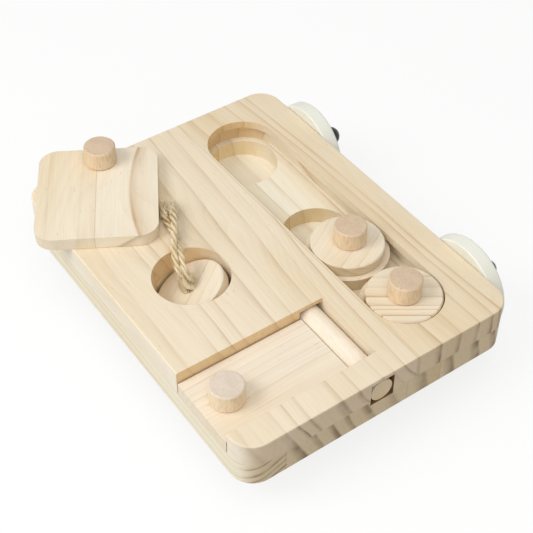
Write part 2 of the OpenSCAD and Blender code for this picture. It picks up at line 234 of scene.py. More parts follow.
def laid_rope_tree():
    """Twists yarns into strands and strands into a rope, along a route."""
    tree, given = geometry_tree("laid_rope", {
        "Route": "Geometry", "Strands": "Int", "Yarns": "Int", "Strand Offset": "Float",
        "Strand Pitch": "Float", "Yarn Offset": "Float", "Yarn Pitch": "Float", "Yarn Radius": "Float",
        "Step": "Float", "Hole": "Float", "Bulge": "Float", "Open From": "Float", "Open To": "Float",
        "Open By": "Float", "Fray By": "Float", "Thin From": "Float", "Thin To": "Float",
        "Thin By": "Float", "Unevenness": "Float", "Phase": "Float", "Material": "Material"})
    line = add(tree, "GeometryNodeMeshToCurve", {"Mesh": given["Route"]})
    line = add(tree, "GeometryNodeCurveSplineType", {"Curve": line}, spline_type="CATMULL_ROM")
    line = add(tree, "GeometryNodeResampleCurve", {"Curve": line, "Length": given["Step"]}, mode="LENGTH")
    core = add(tree, "GeometryNodeCaptureAttribute", {"Geometry": line}, domain="POINT")
    for fact, kind, value in (
            ("Run", "VECTOR", add(tree, "GeometryNodeInputTangent").outputs[0]),
            ("Side", "VECTOR", add(tree, "GeometryNodeInputNormal").outputs[0]),
            ("Along", "FLOAT", add(tree, "GeometryNodeSplineParameter").outputs["Length"])):
        core.capture_items.new(kind, fact)
        tree.links.new(value, core.inputs[fact])
    run, side, along = (core.outputs[fact] for fact in ("Run", "Side", "Along"))
    cross = add(tree, "ShaderNodeVectorMath", {0: run, 1: side}, operation="CROSS_PRODUCT")
    count = add(tree, "ShaderNodeMath", {0: given["Strands"], 1: given["Yarns"]}, operation="MULTIPLY")
    copies = add(tree, "GeometryNodeDuplicateElements", {"Geometry": core, "Amount": count}, domain="SPLINE")
    yarn = copies.outputs["Duplicate Index"]
    strand = add(tree, "ShaderNodeMath", {0: yarn, 1: given["Yarns"]}, operation="DIVIDE")
    strand = add(tree, "ShaderNodeMath", {0: strand}, operation="FLOOR")
    # At the tip the strands part, their yarns spread and all of them thin out
    parted, frayed, thinned = (
        add(tree, "ShaderNodeMapRange",
            {"Value": along, "From Min": given[start], "From Max": given[stop], "To Min": 1.0,
             "To Max": given[most]}, interpolation_type="SMOOTHSTEP")
        for start, stop, most in (("Open From", "Open To", "Open By"), ("Open From", "Open To", "Fray By"),
                                  ("Thin From", "Thin To", "Thin By")))
    # At the base the yarns are packed in the hole and bulge over its rim, and the strands are gathered there;
    # heights are in depths of the hole
    height = add(tree, "ShaderNodeMath", {0: along, 1: given["Hole"]}, operation="DIVIDE")
    packed, bulging, gathered = (
        add(tree, "ShaderNodeMapRange",
            {"Value": height, "From Min": start, "From Max": stop, "To Min": least, "To Max": 1.0},
            interpolation_type="SMOOTHSTEP")
        for start, stop, least in ((0.5, 1.0, 0.8), (1.2, 2.6, given["Bulge"]), (1.2, 2.6, 0.3)))
    spread = add(tree, "ShaderNodeMath", {0: packed, 1: bulging}, operation="MULTIPLY")
    swollen = add(tree, "ShaderNodeMath", {0: spread}, operation="SQRT")
    girth = add(tree, "ShaderNodeMath", {0: thinned, 1: swollen}, operation="MULTIPLY")
    # Strands wind round the core, and yarns round their strand
    turned = []
    for kind, number, tip, base in (("Strand", strand, parted, gathered), ("Yarn", yarn, frayed, spread)):
        reach = add(tree, "ShaderNodeMath", {0: given[kind + " Offset"], 1: tip}, operation="MULTIPLY")
        reach = add(tree, "ShaderNodeMath", {0: reach, 1: base}, operation="MULTIPLY")
        turns = add(tree, "ShaderNodeMath", {0: along, 1: given[kind + " Pitch"]}, operation="DIVIDE")
        share = add(tree, "ShaderNodeMath", {0: number, 1: given[kind + "s"]}, operation="DIVIDE")
        turns = add(tree, "ShaderNodeMath", {0: turns, 1: share}, operation="ADD")
        turns = add(tree, "ShaderNodeMath", {0: turns, 1: given["Phase"]}, operation="ADD")
        angle = add(tree, "ShaderNodeMath", {0: turns, 1: 2 * math.pi}, operation="MULTIPLY")
        parts = []
        for direction, wave in ((side, "COSINE"), (cross, "SINE")):
            part = add(tree, "ShaderNodeMath", {0: angle}, operation=wave)
            part = add(tree, "ShaderNodeMath", {0: part, 1: reach}, operation="MULTIPLY")
            parts.append(add(tree, "ShaderNodeVectorMath", {0: direction, "Scale": part}, operation="SCALE"))
        turned.append(add(tree, "ShaderNodeVectorMath", {0: parts[0], 1: parts[1]}, operation="ADD"))
    offset = add(tree, "ShaderNodeVectorMath", {0: turned[0], 1: turned[1]}, operation="ADD")
    outward = add(tree, "ShaderNodeVectorMath", {0: turned[1]}, operation="NORMALIZE")
    # No yarn lies quite true: each wanders by itself, in waves of about 6 mm
    waves = add(tree, "ShaderNodeMath", {0: along, 1: 1 / (6 * MM)}, operation="MULTIPLY")
    own = add(tree, "ShaderNodeMath", {0: yarn, 1: 9.0}, operation="MULTIPLY")
    waves = add(tree, "ShaderNodeCombineXYZ", {"X": waves, "Y": own})
    stray = add(tree, "ShaderNodeTexNoise", {"Vector": waves, "Scale": 1.0, "Detail": 1.0}).outputs["Color"]
    stray = add(tree, "ShaderNodeVectorMath", {0: stray, 1: (0.5, 0.5, 0.5)}, operation="SUBTRACT")
    offset = add(tree, "ShaderNodeVectorMath", {0: stray, 1: given["Unevenness"], 2: offset},
                 operation="MULTIPLY_ADD")
    yarns = add(tree, "GeometryNodeSetPosition", {"Geometry": copies, "Offset": offset})
    for fact, kind, value in (("along", "FLOAT", along), ("run", "FLOAT_VECTOR", run),
                              ("outward", "FLOAT_VECTOR", outward)):
        yarns = add(tree, "GeometryNodeStoreNamedAttribute",
                    {"Geometry": yarns, "Name": fact, "Value": value}, data_type=kind, domain="POINT")
    ring = add(tree, "GeometryNodeCurvePrimitiveCircle", {"Resolution": 8, "Radius": given["Yarn Radius"]})
    around = add(tree, "GeometryNodeSplineParameter").outputs["Factor"]
    ring = add(tree, "GeometryNodeStoreNamedAttribute", {"Geometry": ring, "Name": "around", "Value": around},
               data_type="FLOAT", domain="POINT")
    tubes = add(tree, "GeometryNodeCurveToMesh", {"Curve": yarns, "Profile Curve": ring, "Scale": girth,
                                                  "Fill Caps": True})
    finish_tree(tree, tubes, given["Material"])
    return tree


def loose_fibres_tree():
    """Scatters short bent fibres over a rope: a few along it, more at its base, a tuft at its free end."""
    tree, given = geometry_tree("loose_fibres", {
        "Rope": "Geometry", "Density": "Float", "Tip Density": "Float", "Tip From": "Float",
        "Tip To": "Float", "Base Density": "Float", "Base From": "Float", "Base To": "Float",
        "Length": "Float", "Thickness": "Float", "Seed": "Int", "Material": "Material"})
    along = add(tree, "GeometryNodeInputNamedAttribute", {"Name": "along"}, data_type="FLOAT")
    run = add(tree, "GeometryNodeInputNamedAttribute", {"Name": "run"}, data_type="FLOAT_VECTOR")
    tip, base = (
        add(tree, "ShaderNodeMapRange", {"Value": along, "From Min": given[end + " From"],
                                         "From Max": given[end + " To"], "To Min": first, "To Max": last})
        for end, first, last in (("Tip", given["Density"], given["Tip Density"]),
                                 ("Base", given["Base Density"], 0.0)))
    density = add(tree, "ShaderNodeMath", {0: tip, 1: base}, operation="MAXIMUM")
    roots = add(tree, "GeometryNodeDistributePointsOnFaces",
                {"Mesh": given["Rope"], "Density": density, "Seed": given["Seed"]})
    # A fibre runs along its yarn, lifts off it and strays
    lift = add(tree, "ShaderNodeVectorMath", {0: roots.outputs["Normal"], "Scale": 0.55}, operation="SCALE")
    ahead = add(tree, "ShaderNodeVectorMath", {0: run, "Scale": 1.5}, operation="SCALE")
    lean = add(tree, "ShaderNodeVectorMath", {0: lift, 1: ahead}, operation="ADD")
    stray = add(tree, "FunctionNodeRandomValue",
                {"Min": (-1, -1, -1), "Max": (1, 1, 1), "Seed": given["Seed"]}, data_type="FLOAT_VECTOR")
    stray = add(tree, "ShaderNodeVectorMath", {0: stray, "Scale": 0.55}, operation="SCALE")
    lean = add(tree, "ShaderNodeVectorMath", {0: lean, 1: stray}, operation="ADD")
    turn = add(tree, "FunctionNodeAlignRotationToVector", {"Vector": lean}, axis="Z")
    # The thickness is a share of the length, because the fibre is scaled as a whole
    bend = add(tree, "GeometryNodeCurveQuadraticBezier",
               {"Resolution": 4, "Start": (0, 0, 0), "Middle": (0.0, 0.0, 0.5), "End": (0.22, 0.0, 0.95)})
    section = add(tree, "GeometryNodeCurvePrimitiveCircle", {"Resolution": 3, "Radius": given["Thickness"]})
    fibre = add(tree, "GeometryNodeCurveToMesh", {"Curve": bend, "Profile Curve": section, "Fill Caps": True})
    length = add(tree, "FunctionNodeRandomValue", {"Min": 0.35, "Max": 1.0, "Seed": given["Seed"]},
                 data_type="FLOAT")
    length = add(tree, "ShaderNodeMath", {0: length, 1: given["Length"]}, operation="MULTIPLY")
    fibres = add(tree, "GeometryNodeInstanceOnPoints",
                 {"Points": roots, "Instance": fibre, "Rotation": turn, "Scale": length})
    finish_tree(tree, fibres, given["Material"])
    return tree


def jute(name, tones):
    """Jute, retted and spun: dull straw-coloured fibres, with a painted highlight on the crowns of the yarns
    and painted shade in the lay.
    """
    material, tree = new_material(name)
    along = add(tree, "ShaderNodeAttribute", attribute_name="along").outputs["Fac"]
    around = add(tree, "ShaderNodeAttribute", attribute_name="around").outputs["Fac"]
    outward = add(tree, "ShaderNodeAttribute", attribute_name="outward").outputs["Vector"]
    place = add(tree, "ShaderNodeTexCoord").outputs
    # Fibres are 0.05 mm wide; they are drawn 0.35 mm wide, 14 round a yarn, so that they show, and 4 mm long.
    # They wind round the yarn 120 times per metre
    turn = add(tree, "ShaderNodeMath", {0: along, 1: 120.0}, operation="MULTIPLY")
    turn = add(tree, "ShaderNodeMath", {0: turn, 1: around}, operation="ADD")
    fibre = add(tree, "ShaderNodeCombineXYZ", {"X": turn, "Y": along})
    fibre = add(tree, "ShaderNodeMapping", {"Vector": fibre, "Scale": (14.0, 240.0, 1.0)})
    streak = add(tree, "ShaderNodeTexNoise", {"Vector": fibre, "Scale": 1.0, "Detail": 3.0})
    patch = add(tree, "ShaderNodeTexNoise", {"Vector": place["Object"], "Scale": 1 / (5 * MM), "Detail": 2.0})
    tone = add(tree, "ShaderNodeMath", {0: streak, 1: patch}, operation="ADD")
    # The crown of a yarn faces away from its strand's core: painted highlight there, painted shade in the lay
    # between yarns
    crown = add(tree, "ShaderNodeVectorMath", {0: outward, 1: place["Normal"]}, operation="DOT_PRODUCT")
    tone = add(tree, "ShaderNodeMath", {0: crown, 1: 0.35, 2: tone}, operation="MULTIPLY_ADD")
    tone = add(tree, "ShaderNodeMath", {0: tone, 1: 0.5}, operation="MULTIPLY")
    colour = add(tree, "ShaderNodeValToRGB", {"Fac": tone})
    set_stops(colour, list(zip((0.3, 0.5, 0.66, 0.8), map(srgb, tones))))
    bump = add(tree, "ShaderNodeBump", {"Height": streak, "Strength": 0.6, "Distance": 0.2 * MM})
    return finish_material(material, {"Base Color": colour, "Normal": bump, "Roughness": 0.85,
                                      "Specular IOR Level": 0.25, "Sheen Weight": 0.2})


spun_jute = jute("jute_spun", ("#92734A", "#C8AD80", "#E4D1AB", "#F0E3C6"))
# Loose fibres are paler than the spun rope: partly real, partly painted light that lifts the frayed tip out of
# the lid's shadow
jute_fibre = jute("jute_loose_fibre", ("#D6BF92", "#E8D5AB", "#F2E5C6", "#F9F0DA"))
route = bpy.data.meshes.new("rope_route")
route.from_pydata(ROPE_ROUTE, [(i, i + 1) for i in range(len(ROPE_ROUTE) - 1)], [])
pull_rope = made_by_tree("laid_pull_rope", laid_rope_tree(), {
    "Strands": 2, "Yarns": 3, "Strand Offset": 1.4 * MM, "Strand Pitch": 70 * MM, "Yarn Offset": 0.71 * MM,
    "Yarn Pitch": -15 * MM, "Yarn Radius": 0.77 * MM, "Step": 0.4 * MM, "Hole": 5.2 * MM, "Bulge": 3.0,
    "Open From": 32 * MM, "Open To": 48 * MM, "Open By": 1.5, "Fray By": 1.3,
    "Thin From": ROPE_LENGTH - 8 * MM, "Thin To": ROPE_LENGTH, "Thin By": 0.35, "Unevenness": 0.7 * MM,
    "Phase": ROPE_PHASE, "Material": spun_jute}, route)
pull_rope.data.shade_smooth()
rope_fibres = made_by_tree("rope_fibres", loose_fibres_tree(), {
    "Density": 0.25e6, "Tip Density": 3.4e6, "Tip From": ROPE_LENGTH - 14 * MM,
    "Tip To": ROPE_LENGTH - 4 * MM, "Base Density": 1.6e6, "Base From": 6 * MM, "Base To": 14 * MM,
    "Length": 4.5 * MM, "Thickness": 0.017, "Seed": 5, "Material": jute_fibre}, pull_rope.data.copy())
for piece in (pull_rope, rope_fibres):
    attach(piece, "plug")
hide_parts("pull_rope")


# Wood

# Directions of the grain, and the turns that bring its frame's y there
ALONG_Y = (0.0, 1.0, 0.0)
UPWARD = (0.0, 0.0, 1.0)
UNTURNED = (0.0, 0.0, 0.0)
TIPPED_UP = (math.radians(90), 0.0, 0.0)

# How far the rings are counted beyond the outermost ones, in millimetres
RING_MARGIN = 20
# A strip's lean, bow and drift are packed into a ramp's colours from minus to plus these
LEAN_MOST = 4.0
BOW_MOST = 4.0
DRIFT_MOST = 1.0


def grain_frame(tree, centre, turn, grain):
    """Place in the grain's own frame in millimetres, how squarely a face cuts the grain, and its normal."""
    given = add(tree, "ShaderNodeTexCoord").outputs
    local = add(tree, "ShaderNodeMapping", {"Vector": given["Object"], "Location": centre, "Rotation": turn,
                                            "Scale": (MM, MM, MM)}, vector_type="TEXTURE")
    facing = add(tree, "ShaderNodeVectorMath", {0: given["Normal"], 1: grain}, operation="DOT_PRODUCT")
    facing = add(tree, "ShaderNodeMath", {0: facing}, operation="ABSOLUTE")
    return local, facing, given["Normal"]


def grain_noise(tree, local, size, detail, roughness=0.5):
    """Noise in patches of a size in millimetres: across the grain, along it, and through the wood."""
    stretched = add(tree, "ShaderNodeMapping", {"Vector": local, "Scale": tuple(1 / side for side in size)})
    return add(tree, "ShaderNodeTexNoise", {"Vector": stretched, "Scale": 1.0, "Detail": detail,
                                            "Roughness": roughness})


def pine(name, centre, degrees, rings, strips, sway=3.0, pale="#F0E4CE", warm="#E3CFA9", tanned="#FFFFFF",
         walls="#FFF9EE", end_mark=1.2, end_band=0.35, line_mark=1.0, ends_tone_and_shade=None, shaded_tunnel=None, seam=None):
    """Sanded, unfinished pine: cream early wood that turns golden towards each late-wood line, and then
    starts pale again; fine streaks and short resin ducts along the grain; browner cut walls and duller ends,
    both partly painted shade; painted shade in the dowel's tunnel and a painted shade line at the seam.

    centre places the grain's own frame, and its y, which runs along the grain, is turned from the board's by
    degrees about z; lengths are in millimetres from there on.
    rings are the late-wood lines: place across the grain at the frame's z = 0, and strength.
    strips are the glued strips: right edge, lean of the rings in x per depth, bow of the lines, tone, and
    drift of the lines in x per y; bow and drift start at the centre, or at a whole board's front end.
    sway is how far the lines wander to either side.
    tanned is the tone that light gives to faces turned up or down, and walls the one on walls cut across the
    grain: the cutter's burnish, with painted warm shade of the hollows.
    end_mark, end_band and line_mark are the strength and breadth of late wood on end grain, and its strength
    along the grain.
    ends_tone_and_shade is the tone of a whole board's outer ends: their dull saw-cut end grain, with painted
    shade.
    shaded_tunnel is a point on the axis of the tunnel along y, at its inner end; the tunnel's wall in front of
    it is painted dark brown as shade.
    seam is the place along y of a dark line at the joint with the next piece, painted as the shade in its gap.
    """
    material, tree = new_material(name)
    turn = math.radians(degrees)
    grain = (-math.sin(turn), math.cos(turn), 0.0)
    local, facing, normal = grain_frame(tree, centre, (0.0, 0.0, turn), grain)
    axes = add(tree, "ShaderNodeSeparateXYZ", {"Vector": local}).outputs
    # Strips: the red channel holds the lean, the green one the bow, the blue one the tone, alpha the drift
    low = rings[0][0] - RING_MARGIN
    high = rings[-1][0] + RING_MARGIN
    strip = add(tree, "ShaderNodeMapRange", {"Value": axes["X"], "From Min": low, "From Max": high})
    strip = add(tree, "ShaderNodeValToRGB", {"Fac": strip})
    edges = [low] + [right_edge for right_edge, *_ in strips[:-1]]
    set_stops(strip, [((edge - low) / (high - low),
                       (lean / (2 * LEAN_MOST) + 0.5, bow / (2 * BOW_MOST) + 0.5, tone,
                        drift / (2 * DRIFT_MOST) + 0.5))
                      for edge, (_, lean, bow, tone, drift) in zip(edges, strips)], "CONSTANT")
    facts = add(tree, "ShaderNodeSeparateColor", {"Color": strip}).outputs
    lean = add(tree, "ShaderNodeMapRange", {"Value": facts["Red"], "To Min": -LEAN_MOST, "To Max": LEAN_MOST})
    # A bow of 1 is a hundredth of a millimetre for each square millimetre along the grain
    bow = add(tree, "ShaderNodeMapRange", {"Value": facts["Green"], "To Min": -BOW_MOST / 100,
                                           "To Max": BOW_MOST / 100})
    drift = add(tree, "ShaderNodeMapRange", {"Value": strip.outputs["Alpha"], "To Min": DRIFT_MOST,
                                             "To Max": -DRIFT_MOST})
    # The lines wander slowly, lean with the depth, and drift and bow along the grain
    wander = grain_noise(tree, local, (45, 160, 45), 2.0)
    wander = add(tree, "ShaderNodeMath", {0: wander, 1: -0.5}, operation="ADD")
    onward = add(tree, "ShaderNodeMath", {0: axes["Y"], 1: HALF_LENGTH if ends_tone_and_shade else 0.0}, operation="ADD")
    square = add(tree, "ShaderNodeMath", {0: onward, 1: onward}, operation="MULTIPLY")
    across = axes["X"]
    for rate, amount in ((wander, 2 * sway), (lean, axes["Z"]), (drift, onward), (bow, square)):
        across = add(tree, "ShaderNodeMath", {0: rate, 1: amount, 2: across}, operation="MULTIPLY_ADD")
    # Counts the rings from the left edge, so that each late-wood line falls at its place
    counted = add(tree, "ShaderNodeMapRange", {"Value": across, "From Min": low, "From Max": high})
    counted = add(tree, "ShaderNodeValToRGB", {"Fac": counted})
    total = len(rings) + 1
    marks = [((ring - low) / (high - low), ((i + 1) / total, mark, 0.0, 1.0))
             for i, (ring, mark) in enumerate(rings)]
    set_stops(counted, [(0.0, 0.0)] + marks + [(1.0, (1.0, 0.0, 0.0, 1.0))])
    count = add(tree, "ShaderNodeSeparateColor", {"Color": counted}).outputs
    number = add(tree, "ShaderNodeMath", {0: count["Red"], 1: total}, operation="MULTIPLY")
    share = add(tree, "ShaderNodeMath", {0: number}, operation="FRACT")
    # Each line fades and returns along its length, every 50 mm or so
    fade = grain_noise(tree, local, (9, 50, 9), 2.0)
    fade = add(tree, "ShaderNodeMapRange", {"Value": fade, "From Min": 0.3, "From Max": 0.65,
                                            "To Min": 0.35, "To Max": 1.1})
    depth = add(tree, "ShaderNodeMath", {0: count["Green"], 1: fade}, operation="MULTIPLY")
    # Where a face is end grain, and where it is a wall cut across the grain
    end = add(tree, "ShaderNodeMapRange", {"Value": facing, "From Min": 0.5, "From Max": 0.97})
    flat = add(tree, "ShaderNodeVectorMath", {0: normal, 1: UPWARD}, operation="DOT_PRODUCT")
    flat = add(tree, "ShaderNodeMath", {0: flat}, operation="ABSOLUTE")
    wall = add(tree, "ShaderNodeMapRange", {"Value": flat, "From Min": 0.9, "From Max": 0.5})
    crossed = add(tree, "ShaderNodeMapRange", {"Value": facing, "From Min": 0.15, "From Max": 0.8})
    wall = add(tree, "ShaderNodeMath", {0: wall, 1: crossed}, operation="MULTIPLY")
    cut = end
    if ends_tone_and_shade:
        # The board's outline has round corners, so its outside is where a high power of x and y adds up to 1
        powers = []
        for axis, half in (("X", HALF_WIDTH), ("Y", HALF_LENGTH)):
            part = add(tree, "ShaderNodeMath", {0: axes[axis], 1: half}, operation="DIVIDE")
            part = add(tree, "ShaderNodeMath", {0: part}, operation="ABSOLUTE")
            powers.append(add(tree, "ShaderNodeMath", {0: part, 1: 8.0}, operation="POWER"))
        outline = add(tree, "ShaderNodeMath", {0: powers[0], 1: powers[1]}, operation="ADD")
        inside = add(tree, "ShaderNodeMath", {0: outline, 1: 0.97}, operation="LESS_THAN")
        wall = add(tree, "ShaderNodeMath", {0: wall, 1: inside}, operation="MULTIPLY")
        cut = add(tree, "ShaderNodeMath", {0: end, 1: inside}, operation="SUBTRACT", use_clamp=True)
    # Late wood is a thin line along the grain, and a broad band on end grain, where the surface crosses it
    line = add(tree, "ShaderNodeValToRGB", {"Fac": share})
    set_stops(line, [(position, line_mark * mark) for position, mark in (
        (0.0, 0.25), (0.05, 0.0), (0.5, 0.06), (0.78, 0.24), (0.92, 0.55), (0.97, 1.0), (1.0, 0.6))])
    band = add(tree, "ShaderNodeValToRGB", {"Fac": share})
    set_stops(band, [(position, mark * end_mark) for position, mark in (
        (0.0, 0.5), (0.07, 0.0), (0.8 - end_band, 0.05), (1.0 - end_band, 0.6), (0.94, 1.0), (1.0, 0.6))])
    late = add(tree, "ShaderNodeMix", {"Factor": cut, "A": line, "B": band}, data_type="RGBA")
    late = add(tree, "ShaderNodeMath", {0: late, 1: depth}, operation="MULTIPLY")
    # Fainter lines between the main ones, unevenly spaced
    minor = add(tree, "ShaderNodeMath", {0: wander, 1: 4.0, 2: number}, operation="MULTIPLY_ADD")
    minor = add(tree, "ShaderNodeMath", {0: minor, 1: 3.0}, operation="MULTIPLY")
    minor = add(tree, "ShaderNodeMath", {0: minor}, operation="FRACT")
    minor = add(tree, "ShaderNodeMapRange", {"Value": minor, "From Min": 0.3, "From Max": 0.97,
                                             "To Max": 0.07})
    minor = add(tree, "ShaderNodeMath", {0: minor, 1: fade}, operation="MULTIPLY")
    late = add(tree, "ShaderNodeMath", {0: late, 1: minor}, operation="ADD", use_clamp=True)
    # Clouds of warmer and paler wood
    golden = grain_noise(tree, local, (30, 120, 30), 3.0)
    golden = add(tree, "ShaderNodeMath", {0: golden, 1: facts["Blue"]}, operation="ADD")
    golden = add(tree, "ShaderNodeMapRange", {"Value": golden, "From Min": 0.55, "From Max": 1.1})
    colour = add(tree, "ShaderNodeMix", {"Factor": golden, "A": srgb(pale), "B": srgb(warm)},
                 data_type="RGBA")
    brown = add(tree, "ShaderNodeMix", {"Factor": cut, "A": srgb("#B8915E"), "B": srgb("#A08E76")},
                data_type="RGBA")
    colour = add(tree, "ShaderNodeMix", {"Factor": late, "A": colour, "B": brown}, data_type="RGBA")
    # What light did to faces turned up or down; painted warm shade on walls cut across the grain, on top of
    # the cutter's burnish; painted shade on a whole board's outer ends, on top of their dull saw cut
    tint = srgb("#FFFFFF")
    for where, tone in [(flat, tanned), (wall, walls)] + ([(cut, ends_tone_and_shade)] if ends_tone_and_shade else []):
        tint = add(tree, "ShaderNodeMix", {"Factor": where, "A": tint, "B": srgb(tone)}, data_type="RGBA")
    colour = add(tree, "ShaderNodeMix", {"Factor": 1.0, "A": colour, "B": tint}, data_type="RGBA",
                 blend_type="MULTIPLY")
    # Glue between the strips, and the painted shade line of the seam, half a millimetre wide
    joints = [("X", edge, 0.35, "#B8915E") for edge in edges[1:]]
    if seam is not None:
        joints.append(("Y", seam, 0.65, "#7A6142"))
    for axis, edge, strength, tone in joints:
        glue = add(tree, "ShaderNodeMath", {0: axes[axis], 1: edge, 2: 0.25}, operation="COMPARE")
        glue = add(tree, "ShaderNodeMath", {0: glue, 1: strength}, operation="MULTIPLY")
        colour = add(tree, "ShaderNodeMix", {"Factor": glue, "A": colour, "B": srgb(tone)}, data_type="RGBA")
    # Painted shade: the wall of the dowel's tunnel is painted dark brown near its axis, in front of its inner
    # end
    if shaded_tunnel:
        x, y, z = shaded_tunnel
        away = add(tree, "ShaderNodeVectorMath", {0: local, 1: (x, 0.0, z)}, operation="SUBTRACT")
        away = add(tree, "ShaderNodeVectorMath", {0: away, 1: (1.0, 0.0, 1.0)}, operation="MULTIPLY")
        away = add(tree, "ShaderNodeVectorMath", {0: away}, operation="LENGTH")
        near = add(tree, "ShaderNodeMath", {0: away, 1: TUNNEL_REACH}, operation="LESS_THAN")
        within = add(tree, "ShaderNodeMath", {0: axes["Y"], 1: y}, operation="LESS_THAN")
        tunnel_shade = add(tree, "ShaderNodeMath", {0: near, 1: within}, operation="MULTIPLY")
        tunnel_shade = add(tree, "ShaderNodeMath", {0: tunnel_shade, 1: end}, operation="SUBTRACT", use_clamp=True)
        colour = add(tree, "ShaderNodeMix", {"Factor": tunnel_shade, "A": colour, "B": srgb("#80603F")},
                     data_type="RGBA")
    # Fibre streaks some 40 mm long, and resin ducts, which are short dark dashes 5 mm long. Both are finer on
    # real pine, and drawn 0.9 mm wide so that they show
    streak = grain_noise(tree, local, (0.9, 40, 0.9), 4.0, 0.6)
    duct = grain_noise(tree, local, (0.9, 5, 0.9), 1.0)
    duct = add(tree, "ShaderNodeMapRange", {"Value": duct, "From Min": 0.7, "From Max": 0.78})
    shade = add(tree, "ShaderNodeMapRange", {"Value": streak, "From Min": 0.25, "From Max": 0.75,
                                             "To Min": 0.94, "To Max": 1.025})
    shade = add(tree, "ShaderNodeMath", {0: duct, 1: -0.15, 2: shade}, operation="MULTIPLY_ADD")
    colour = add(tree, "ShaderNodeVectorMath", {0: colour, "Scale": shade}, operation="SCALE")
    rough = add(tree, "ShaderNodeMapRange", {"Value": streak, "To Min": 0.52, "To Max": 0.7})
    height = add(tree, "ShaderNodeMath", {0: late, 1: 0.08, 2: streak}, operation="MULTIPLY_ADD")
    bump = add(tree, "ShaderNodeBump", {"Height": height, "Strength": 0.2, "Distance": 0.1 * MM})
    return finish_material(material, {"Base Color": colour, "Roughness": rough, "Normal": bump,
                                      "Specular IOR Level": 0.35})


def beech(name, turn, grain, side, top, fleck):
    """Turned and sanded beech: even pinkish wood with short darker ray flecks, dots on its end grain."""
    material, tree = new_material(name)
    local, facing, _ = grain_frame(tree, (0, 0, 0), turn, grain)
    # Rays 4 mm long, which are about 0.2 mm wide on real beech and drawn 0.7 mm wide so that they show, and
    # growth zones 5 mm wide
    ray = grain_noise(tree, local, (0.7, 4, 0.9), 3.0, 0.65)
    zone = grain_noise(tree, local, (5, 60, 9), 2.0)
    end = add(tree, "ShaderNodeMapRange", {"Value": facing, "From Min": 0.4, "From Max": 0.9})
    mark = add(tree, "ShaderNodeMapRange", {"Value": ray, "From Min": 0.46, "From Max": 0.72, "To Max": 0.6})
    shade = add(tree, "ShaderNodeMapRange", {"Value": zone, "From Min": 0.3, "From Max": 0.7,
                                             "To Min": 0.92, "To Max": 1.05})
    colour = add(tree, "ShaderNodeMix", {"Factor": end, "A": srgb(side), "B": srgb(top)}, data_type="RGBA")
    colour = add(tree, "ShaderNodeMix", {"Factor": mark, "A": colour, "B": srgb(fleck)}, data_type="RGBA")
    colour = add(tree, "ShaderNodeVectorMath", {0: colour, "Scale": shade}, operation="SCALE")
    rough = add(tree, "ShaderNodeMapRange", {"Value": ray, "To Min": 0.5, "To Max": 0.66})
    bump = add(tree, "ShaderNodeBump", {"Height": ray, "Strength": 0.2, "Distance": 0.08 * MM})
    return finish_material(material, {"Base Color": colour, "Roughness": rough, "Normal": bump,
                                      "Specular IOR Level": 0.4})


upper_pine = pine(
    "pine_sanded_upper_layer", (0, 0, UPPER_TOP * MM), 0,
    [(-67, 0.3), (-51.5, 0.5), (-45, 0.8), (-39, 0.7), (-22.3, 0.6), (-13, 0.6), (-1.5, 0.55), (5, 0.25),
     (11, 0.75), (18.5, 0.4), (30, 0.9), (40.5, 0.5), (51.3, 0.5), (60, 0.8), (64, 1.0)],
    [(16, 0.5, -0.02, 0.12, 0.025), (HALF_WIDTH, -0.1, 0.01, 0.32, -0.02)], sway=5.5,
    pale="#F4EBDA", warm="#E8D7B6", tanned="#F7F1E6", walls="#F9E4C2", end_band=0.12, line_mark=0.7,
    ends_tone_and_shade="#E7DACA", shaded_tunnel=(*TUNNEL_END[:2], TUNNEL_END[2] - UPPER_TOP))
# The strip from 22.5 to 30.2 mm is warmer (tone 0.5): painted shadow of the slot's left rim on the track floor
lower_pine = pine(
    "pine_sanded_lower_layer", (0, 0, LOWER_TOP * MM), 0,
    [(-98, 0.9), (-88, 1.0), (-78, 0.9), (-68, 1.0), (-58, 0.8), (-45, 0.9), (-36, 0.8), (-27, 0.9),
     (-19, 0.7), (-9, 0.8), (4, 0.5), (22, 0.6), (37, 0.65), (52, 0.9), (62, 0.8)],
    [(-50.5, -2.5, 0.0, 0.2, 0.0), (12, 0.42, 0.0, 0.15, 0.0), (22.5, 0.15, 0.0, 0.1, 0.01),
     (30.2, 0.15, 0.0, 0.5, 0.01), (HALF_WIDTH, 0.15, 0.0, 0.1, 0.01)],
    pale="#F6EFDB", warm="#ECDFBF", walls="#FFF1D8", end_band=0.22, line_mark=0.55,
    ends_tone_and_shade="#E1D3C0", shaded_tunnel=(*TUNNEL_END[:2], TUNNEL_END[2] - LOWER_TOP))
flap_pine = pine(
    "pine_sanded_flap", (-38 * MM, 0, 18 * MM), 90,
    [(-79, 0.2), (-73, 0.15), (-66, 0.2), (-59, 0.2), (-54.5, 0.3), (-51, 0.3), (-47.5, 0.4)],
    [(0, 0.4, 0.0, 0.1, 0.0)], pale="#EFE3CF", warm="#E7D3B0", walls="#FFFFFF", end_mark=0.3, seam=-30.6)
lid_pine = pine(
    "pine_sanded_lid", LID_CENTRE, 180 + LID_TURN,
    [(-34, 0.3), (-9.9, 0.75), (9, 0.12), (24, 0.2), (36, 0.2)],
    [(0.7, 1.6, 0.42, 0.1, 0.0), (40, 0.3, 0.0, 0.28, 0.0)], sway=1.5, walls="#FFFFFF", end_mark=0.8,
    end_band=0.1)
far_pine = pine(
    "pine_sanded_far_disc", (34.5 * MM, -22 * MM, UPPER_TOP * MM), -60,
    [(-19, 0.2), (-12, 0.25), (-4, 0.2), (5, 0.3), (11, 0.25), (19, 0.2)], [(30, 1.4, 0.25, 0.2, 0.0)])
